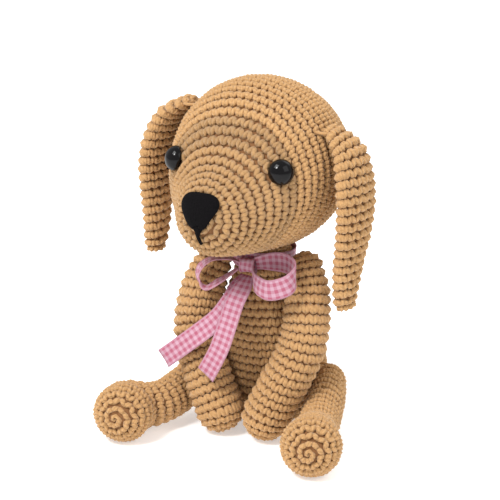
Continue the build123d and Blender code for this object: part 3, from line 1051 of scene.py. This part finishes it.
@dataclass
class Arm:
    """One arm, which hangs in front of the torso.

    Attributes:
        side: which arm.
        sections: distance aside, ahead and up, and radius, in millimetres.
    """

    side: Side
    sections: tuple[tuple[float, float, float, float], ...] = (
        (24.6, 18.9, 84.6, 8.4),
        (27.4, 22.9, 75.0, 10.6),
        (29.0, 27.3, 65.0, 11.3),
        (29.2, 30.6, 54.0, 11.6),
        (26.4, 33.9, 42.0, 11.7),
        (20.0, 37.2, 28.0, 11.8),
        (12.9, 39.0, 12.8, 12.0),
    )

    def build(self) -> None:
        """Makes the arm's cover, worked from the paw up."""
        sign = self.side.value
        stations = [(sign * x, -y, z, r, r) for x, y, z, r in reversed(self.sections)]
        paw, shoulder = Vector((-0.3 * sign, -0.06, -1)), Vector((-0.35 * sign, 0.3, 1))
        form = tube(stations, BEHIND, paw, shoulder)
        body = f"{self.side.word}_arm"
        Cover(f"{body}_cover", body, form, 0.85, seed=21 + self.side.seed).build()


@dataclass
class Leg:
    """One leg, which lies on the floor with its foot up.

    Attributes:
        side: which leg.
        hinge: the middle of its seam, in metres.
        toe_in: how far its sole is turned in, in degrees.
        sections: distance aside, ahead and up, half-width and half-height, in millimetres.
        hip: half-width and half-height at the seam, in millimetres.
        foot: distance aside and ahead of the sole's middle, in millimetres.
        foot_radius: radius of the foot, in millimetres.
        heel: how far behind the sole the foot narrows, in foot radii.
    """

    side: Side
    hinge: Vector
    toe_in: float
    sections: tuple[Station, ...] = (
        (36.8, 20.0, 18.6, 8.8, 11.4),
        (39.8, 34.0, 14.6, 9.8, 11.0),
        (43.8, 48.0, 13.2, 10.2, 10.8),
    )
    hip: tuple[float, float] = (7.2, 11.2)
    foot: tuple[float, float] = (50.5, 69.0)
    foot_radius: float = 14.6
    heel: float = 0.55

    def build(self) -> None:
        """Makes the leg's cover, worked from the sole up."""
        sign, word = self.side.value, self.side.word
        x, y, z = self.hinge / MM
        turn = math.radians(self.toe_in)
        out = Vector((-sign * math.sin(turn), -math.cos(turn), 0.06))
        aside, ahead = sign * self.foot[0], -self.foot[1]
        r = self.foot_radius
        heel, narrow = self.heel * r, 0.86 * r
        stations = [(aside, ahead, r + 0.2, r, r)]
        stations.append((aside - out.x * heel, ahead - out.y * heel, r + 0.1, narrow, narrow))
        stations += [(sign * a, -b, up, wide, high) for a, b, up, wide, high in reversed(self.sections)]
        stations.append((x, y, z, *self.hip))
        form = tube(stations, ACROSS, out, Vector((-sign * 0.2, 1, 0.2)))
        body = f"{word}_leg"
        Cover(f"{body}_cover", body, form, 0.9, seed=31 + self.side.seed).build()


@dataclass
class Tail:
    """The short tail, which curves up behind.

    Attributes:
        hinge: the middle of its seam, in metres.
        sections: distance behind and above the hinge, and radius, in millimetres.
        base_radius: radius at the seam, in millimetres.
    """

    hinge: Vector
    sections: tuple[tuple[float, float, float], ...] = ((7.0, 2.0, 6.0), (13.0, 6.0, 6.2), (18.0, 12.0, 5.8))
    base_radius: float = 5.0

    def build(self) -> None:
        """Makes the tail, worked from its tip."""
        x, y, z = self.hinge / MM
        stations = [(x, y + back, z + up, r, r) for back, up, r in reversed(self.sections)]
        stations.append((x, y, z, self.base_radius, self.base_radius))
        form = tube(stations, ACROSS, Vector((0, 0.6, 1)), Vector((0, -1, -0.2)))
        Cover("tail", "tail", form, 0.8, seed=41).build()


# ---------------------------------------------------------------- ribbon


@dataclass(frozen=True)
class Loop:
    """One loop of the bow, in millimetres.

    Attributes:
        points: distance aside, ahead and up, and the ribbon's width, out of the knot and back to it.
        upright: the direction that the ribbon's width lies nearest to.
        length: its flat length.
    """

    points: tuple[tuple[float, float, float, float], ...]
    upright: tuple[float, float, float]
    length: float


@dataclass(frozen=True)
class End:
    """One end of the bow, in millimetres.

    Attributes:
        points: x, distance ahead and height, down from the knot.
        cut: how far it is cut slanting, in widths.
        length: its flat length.
    """

    points: tuple[tuple[float, float, float], ...]
    cut: float
    length: float


LEFT_LOOP = Loop(
    (
        (4.1, 33.0, 88.2, 6.0),
        (12.0, 31.2, 89.6, 9.0),
        (21.3, 33.6, 90.2, 10.0),
        (27.8, 39.2, 87.8, 10.0),
        (26.8, 45.4, 83.4, 10.0),
        (18.2, 48.3, 80.6, 10.0),
        (9.4, 44.2, 82.2, 9.0),
        (4.1, 35.8, 85.4, 5.6),
    ),
    upright=(0.0, 0.0, 1.0),
    length=70.0,
)
RIGHT_LOOP = Loop(
    (
        (4.1, 33.0, 88.0, 6.0),
        (11.0, 33.8, 89.2, 9.0),
        (18.5, 36.4, 88.4, 10.0),
        (23.2, 39.0, 84.6, 10.0),
        (23.2, 41.0, 79.6, 10.0),
        (18.4, 42.4, 76.2, 10.0),
        (11.6, 41.6, 79.4, 9.0),
        (4.1, 36.0, 85.4, 5.6),
    ),
    upright=(0.62, -0.78, 0.1),
    length=58.0,
)
LONG_END = End(
    (
        (-1.0, 33.4, 82.0),
        (-2.2, 38.8, 77.4),
        (-4.5, 44.0, 70.5),
        (-10.0, 47.5, 62.0),
        (-20.0, 49.8, 53.0),
        (-37.3, 51.7, 38.9),
    ),
    cut=0.0,
    length=64.0,
)
SHORT_END = End(
    (
        (1.0, 34.9, 82.0),
        (0.6, 41.0, 77.6),
        (-1.0, 46.4, 70.5),
        (-3.2, 49.7, 60.0),
        (-7.0, 51.6, 47.5),
        (-13.5, 52.8, 34.5),
    ),
    cut=0.08,
    length=55.0,
)


@dataclass
class Ribbon:
    """The gingham ribbon: neck band, knot, loops and ends, in millimetres.

    Attributes:
        width: the ribbon's width.
        thickness: its thickness.
        band_width: its width where it is gathered round the neck.
        knot_width: its width where it is gathered in the knot.
        end_width: its width where an end comes out of the knot.
        knot_length: flat length of the wrap.
    """

    width: float = 10.0
    thickness: float = 0.45
    band_width: float = 8.0
    knot_width: float = 7.6
    end_width: float = 5.5
    knot_length: float = 22.0

    def strip(
        self,
        name: str,
        path: Sequence[Vector],
        widths: Sequence[float],
        upright: Vector,
        cupped: float,
        cut: float = 0.0,
        start: float = 0.0,
    ) -> bpy.types.Mesh:
        """A thin strip of ribbon along a path.

        Args:
            name: the mesh's name.
            path: the middle of the ribbon, in millimetres.
            widths: the ribbon's width at each point of the path.
            upright: the direction that the ribbon's width lies nearest to.
            cupped: how much the strip is cupped across, in millimetres.
            cut: how far the end is cut slanting, in widths.
            start: where the check starts along the ribbon, in widths.

        Returns:
            The mesh, with a UV map that counts ribbon widths.
        """
        along_steps, across_steps = 8 * (len(path) - 1), 8
        bm = bmesh.new()
        layer = bm.loops.layers.uv.new("UVMap")
        bmesh.ops.create_grid(bm, x_segments=along_steps, y_segments=across_steps, size=1)
        columns = [[p[k] for p in path] for k in range(3)]
        last = len(path) - 1

        def middle(place: float) -> Vector:
            """The middle of the ribbon at a place along its path."""
            return Vector([smooth_through(column, place) for column in columns])

        run = [0.0]
        for k in range(along_steps):
            a, b = middle(last * k / along_steps), middle(last * (k + 1) / along_steps)
            run.append(run[-1] + (b - a).length)
        spots = {}
        for vert in bm.verts:
            share, v = (vert.co.x + 1) / 2, vert.co.y
            place = share * last
            tangent = (middle(min(place + 0.2, last)) - middle(max(place - 0.2, 0.0))).normalized()
            across = (upright - tangent * upright.dot(tangent)).normalized()
            out = tangent.cross(across)
            half = smooth_through(widths, place) / 2
            slant = cut * self.width * v * max(0.0, share - 0.75) * 4
            cup = cupped * (v * v - 0.4) + 0.12 * math.sin(share * 23 + 2 * v)
            point = middle(place) + across * (v * half) + out * cup + tangent * slant
            along = run[round(share * along_steps)] + slant
            spots[vert.index] = (v / 2 + 0.5, start + along / self.width)
            vert.co = point * MM
        for face in bm.faces:
            for loop in face.loops:
                loop[layer].uv = spots[loop.vert.index]
        bmesh.ops.recalc_face_normals(bm, faces=bm.faces)
        bmesh.ops.solidify(bm, geom=bm.faces[:], thickness=self.thickness * MM)
        return mesh_from(bm, name)

    def add(
        self,
        mesh: bpy.types.Mesh,
        node: str,
        length: float,
        held: str,
        rests: Sequence[str],
        body: str = "torso",
    ) -> bpy.types.Object:
        """Args:
            mesh: the strip.
            node: the CAD node that it replaces.
            length: its flat length in millimetres; not used.
            held: how the ribbon is held there; not used.
            rests: what it lies on or hangs from; not used.
            body: the body that it rides on, or nothing to leave it unattached.

        Returns:
            The new piece.
        """
        finish = GinghamFinish(f"gingham_{mesh.name}")
        piece = link(mesh, finish.make(), body)
        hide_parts(node)
        return piece

    def band(self) -> None:
        """The ribbon round the neck, gathered under the head."""
        low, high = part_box("ribbon_neck_band")
        middle = (Vector(low) + Vector(high)) / 2 / MM
        reach = (high[0] - low[0]) / 2 / MM - 0.4
        path, steps = [], 16
        for k in range(steps + 1):
            angle = 2 * math.pi * k / steps
            wave = 0.25 * math.sin(3 * angle)
            path.append(middle + Vector((math.sin(angle) * reach, -math.cos(angle) * reach, wave)))
        mesh = self.strip("ribbon_band", path, [self.band_width] * len(path), UP, 0.5)
        self.add(mesh, "ribbon_neck_band", 2 * math.pi * reach, "gathered", ["torso_cover_fabric"])

    def knot(self) -> None:
        """The wrap of ribbon that holds the loops, pinched at its waist."""
        low, high = (Vector(v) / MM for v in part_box("bow_knot"))
        middle, deep, tall = (low + high) / 2, 3.0, 3.6
        path, steps = [], 12
        for k in range(steps + 1):
            angle = 2 * math.pi * k / steps + math.pi / 2
            wave = 0.15 * math.sin(3 * angle)
            path.append(middle + Vector((wave, math.cos(angle) * deep, math.sin(angle) * tall)))
        mesh = self.strip("ribbon_knot", path, [self.knot_width] * len(path), ACROSS, 0.5)
        self.add(mesh, "bow_knot", self.knot_length, "folded", ["ribbon_band"])

    def loop(self, side: Side, loop: Loop) -> None:
        """One loop, which leaves the knot high at the back and comes back lower in front.

        Args:
            side: the side that it lies on.
            loop: its shape.
        """
        sign, word = side.value, side.word
        path = [Vector((sign * x, -y, z)) for x, y, z, _ in loop.points]
        widths = [width for *_, width in loop.points]
        mesh = self.strip(f"ribbon_{word}_loop", path, widths, Vector(loop.upright), 0.35)
        piece = self.add(mesh, f"bow_{word}_loop", loop.length, "folded", ["ribbon_knot"], "")
        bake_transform(piece)

    def end(self, name: str, end: End) -> None:
        """One end of the bow.

        Args:
            name: which end, as its CAD node spells it.
            end: its shape.
        """
        path = [Vector((x, -y, z)) for x, y, z in end.points]
        widths = [self.end_width] + [self.width] * (len(path) - 1)
        mesh = self.strip(f"ribbon_{name}_tail", path, widths, ACROSS, 0.3, cut=end.cut, start=0.4)
        piece = self.add(mesh, f"bow_{name}_tail", end.length, "hung", ["ribbon_knot"], "")
        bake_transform(piece)

    def build(self) -> None:
        """Makes the whole bow."""
        self.band()
        self.knot()
        self.loop(Side.LEFT, LEFT_LOOP)
        self.loop(Side.RIGHT, RIGHT_LOOP)
        self.end("long", LONG_END)
        self.end("short", SHORT_END)


# ---------------------------------------------------------------- studio


@dataclass(frozen=True)
class Studio:
    """Pale floor, soft light and the camera.

    Attributes:
        azimuth: how far the camera stands round to the puppy's left, in degrees.
        elevation: how far it looks down, in degrees.
        distance: its distance from the target, in metres.
        target: what it looks at, in metres.
        lens: its focal length, in millimetres.
    """

    azimuth: float = 26.0
    elevation: float = 16.0
    distance: float = 0.9
    target: tuple[float, float, float] = (-0.0053, -0.020, 0.0904)
    lens: float = 131.5

    def lamp(self, name: str, place: Vector, size: float, power: float) -> None:
        """A square soft light aimed at the puppy.

        Args:
            name: the light's name.
            place: where it hangs, in metres.
            size: its side, in metres.
            power: its power, in watts.
        """
        data = bpy.data.lights.new(name, "AREA")
        data.size, data.energy = size, power
        lamp = bpy.data.objects.new(name, data)
        lamp.location = place
        lamp.rotation_euler = (Vector(self.target) - place).to_track_quat("-Z", "Y").to_euler()
        bpy.context.scene.collection.objects.link(lamp)

    def build(self) -> None:
        """Makes the floor, the lights, the surroundings and the camera."""
        bm = bmesh.new()
        bmesh.ops.create_grid(bm, x_segments=4, y_segments=4, size=12.0)
        finish = PlainFinish("floor_white", (0.9, 0.9, 0.9), (0.88, 0.88, 0.88), 0.9, 30.0, 0.0, glow=0.42)
        floor = bpy.data.objects.new("floor", mesh_from(bm, "floor"))
        floor.data.materials.append(finish.make())
        bpy.context.scene.collection.objects.link(floor)
        self.lamp("key_light", Vector((-0.35, -0.8, 1.3)), 0.7, 14.0)
        self.lamp("side_light", Vector((1.1, -0.3, 0.9)), 0.9, 4.0)
        self.lamp("back_light", Vector((0.3, 1.0, 1.0)), 1.0, 5.0)
        self.lamp("front_light", Vector((-0.2, -1.0, 1.1)), 0.22, 8.0)
        world = bpy.data.worlds.new("studio")
        world.use_nodes = True
        sky = world.node_tree.nodes["Background"]
        sky.inputs["Color"].default_value = (1, 1, 1, 1)
        sky.inputs["Strength"].default_value = 0.68
        bpy.context.scene.world = world
        bpy.context.scene.view_settings.view_transform = "Standard"
        a, e = math.radians(self.azimuth), math.radians(self.elevation)
        back = Vector((math.sin(a) * math.cos(e), -math.cos(a) * math.cos(e), math.sin(e)))
        data = bpy.data.cameras.new("camera")
        data.lens, data.sensor_width = self.lens, 36.0
        camera = bpy.data.objects.new("camera", data)
        camera.location = Vector(self.target) + back * self.distance
        camera.rotation_euler = (-back).to_track_quat("-Z", "Y").to_euler()
        bpy.context.scene.collection.objects.link(camera)
        bpy.context.scene.camera = camera


def dress_frame(frame: dict) -> None:
    """Gives the CAD nodes that stay their own finishes.

    Args:
        frame: the loaded frame.
    """
    finishes = {
        "eyes": EYE_BLACK.make(),
        "black_thread": THREAD_BLACK.make(),
        "washers": WASHER_WHITE.make(),
        "stuffing": FIBRE_WHITE.make(),
        "yarn": SEWING_YARN.make(),
        "ribbon": GinghamFinish("gingham_plain").make(),
    }
    slots = {part["node"]: part["material_slot"] for part in frame["record"]["subparts"]}
    for node, slot in slots.items():
        piece = bpy.data.objects.get(node)
        if piece is None:
            continue
        for material_slot in piece.material_slots:
            material_slot.material = finishes[slot]


def main(frame: dict) -> None:
    """Builds every piece in order.

    Args:
        frame: the loaded frame.
    """
    hinges = {joint["name"]: Vector(joint["pos_m"]) for joint in frame["joints"]}
    Studio().build()
    dress_frame(frame)
    Torso().build()
    head = Head()
    head.build()
    Ear(Side.LEFT, hinges["left_ear_flap"], hang=0.0, length=1.0, cup=0.18).build(head)
    Ear(Side.RIGHT, hinges["right_ear_flap"], hang=8.5, length=0.93, cup=-0.06).build(head)
    for side in Side:
        Arm(side).build()
    Leg(Side.LEFT, hinges["left_leg_spread"], toe_in=-18.0).build()
    Leg(Side.RIGHT, hinges["right_leg_spread"], toe_in=10.0).build()
    Tail(hinges["tail_wag"]).build()
    turn = head.place.to_3x3()
    for side in Side:
        word, inward = side.word, Vector((-side.value, 0, 0))
        ear, leg = hinges[f"{word}_ear_flap"], hinges[f"{word}_leg_spread"]
        Seam(f"{word}_ear_seam", "head", ear, turn @ BEHIND, turn @ inward, half=6.3, reach=7.0).build()
        Seam(f"{word}_leg_seam", "torso", leg, UP, inward, half=10.6, reach=11.0).build()
    Seam("tail_seam", "torso", hinges["tail_wag"], UP, -BEHIND, half=5.2, reach=9.0).build()
    Ribbon().build()


if __name__ == "__main__":
    logging.basicConfig(level=logging.INFO, format="%(name)s: %(message)s")
    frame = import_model()
    main(frame)
